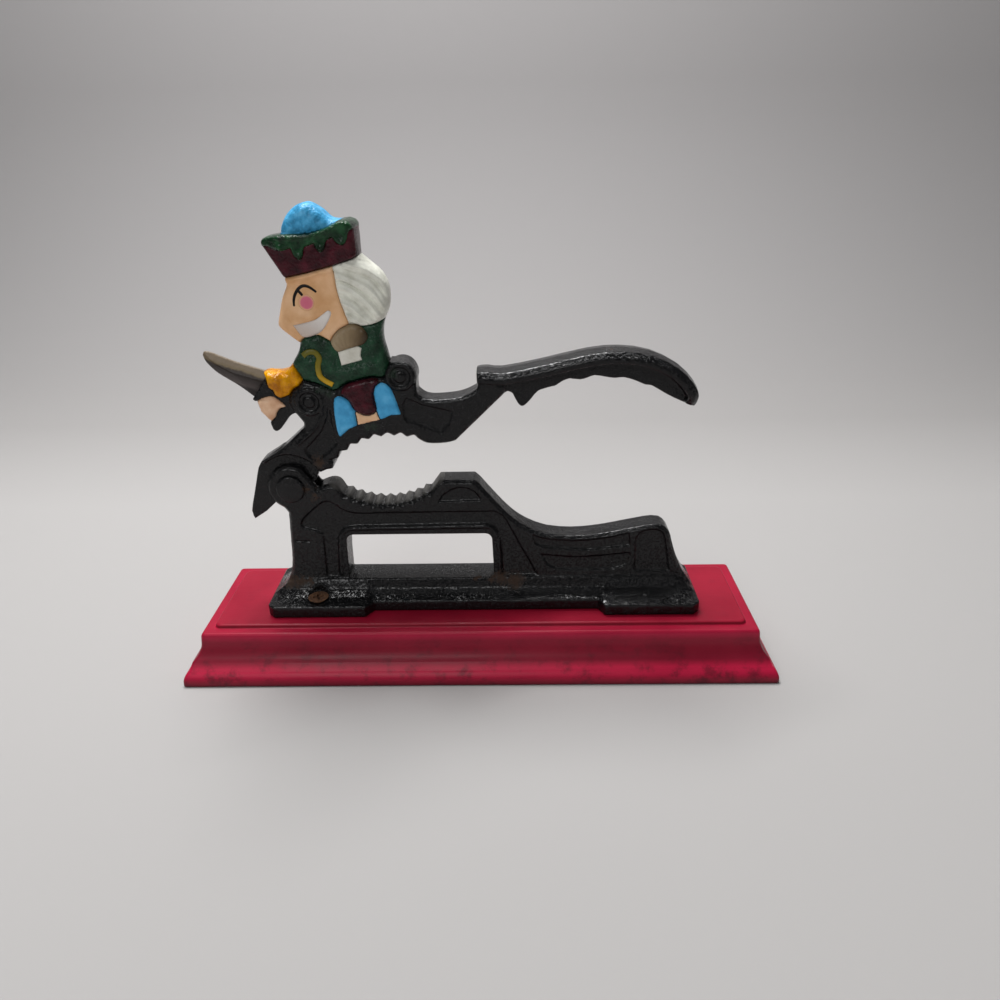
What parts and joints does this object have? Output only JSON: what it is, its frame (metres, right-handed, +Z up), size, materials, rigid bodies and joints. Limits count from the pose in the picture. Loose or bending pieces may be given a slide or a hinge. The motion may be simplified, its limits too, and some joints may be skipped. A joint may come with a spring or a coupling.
{
  "type": "lever nutcracker press",
  "caption": "Cast lever nutcracker with a painted figure on its arm, hinged over a serrated jaw on a footed frame and a moulded wooden plinth.",
  "frame": {"origin": "middle of the plinth's flat underside", "axes": "+X along the press from the hinge to the handle's tip, +Y from front to back, +Z up"},
  "size_m": [0.2412, 0.0682, 0.1807],
  "materials": {
    "red_wood": "gloss paint on a turned and moulded board",
    "black_enamel": "satin black enamel over a sand-cast skin",
    "rusty_steel": "rusted slotted heads",
    "blade_paint": "worn grey paint",
    "skin_paint": "satin paint",
    "gold_paint": "gloss paint",
    "green_paint": "gloss paint",
    "olive_paint": "gloss paint",
    "bronze_paint": "gloss paint",
    "white_paint": "worn satin paint",
    "maroon_paint": "gloss paint",
    "blue_paint": "gloss paint",
    "smile_paint": "satin paint",
    "cheek_paint": "satin paint",
    "hair_paint": "satin paint"
  },
  "bodies": {
    "base": {"plinth": "red_wood", "frame": "black_enamel", "hinge_pin": "black_enamel", "front_screw": "rusty_steel", "rear_screw": "rusty_steel"},
    "lever": {"lever": "black_enamel", "sword_blade": "blade_paint", "sword_hand": "skin_paint", "gauntlet": "gold_paint", "coat": "green_paint", "coat_braid": "olive_paint", "epaulette": "bronze_paint", "sash": "white_paint", "skirt": "maroon_paint", "left_leg": "blue_paint", "right_leg": "blue_paint", "knees": "skin_paint", "face": "skin_paint", "smile": "smile_paint", "cheek": "cheek_paint", "hair": "hair_paint", "hat_band": "maroon_paint", "hat_brim": "green_paint", "hat_crown": "blue_paint"}
  },
  "joints": [
    {"name": "lever_hinge", "type": "hinge", "parent": "base", "child": "lever", "pos_m": [-0.0738, 0, 0.0752], "axis": [0, -1, 0], "range_deg": [-13, 31]}
  ]
}
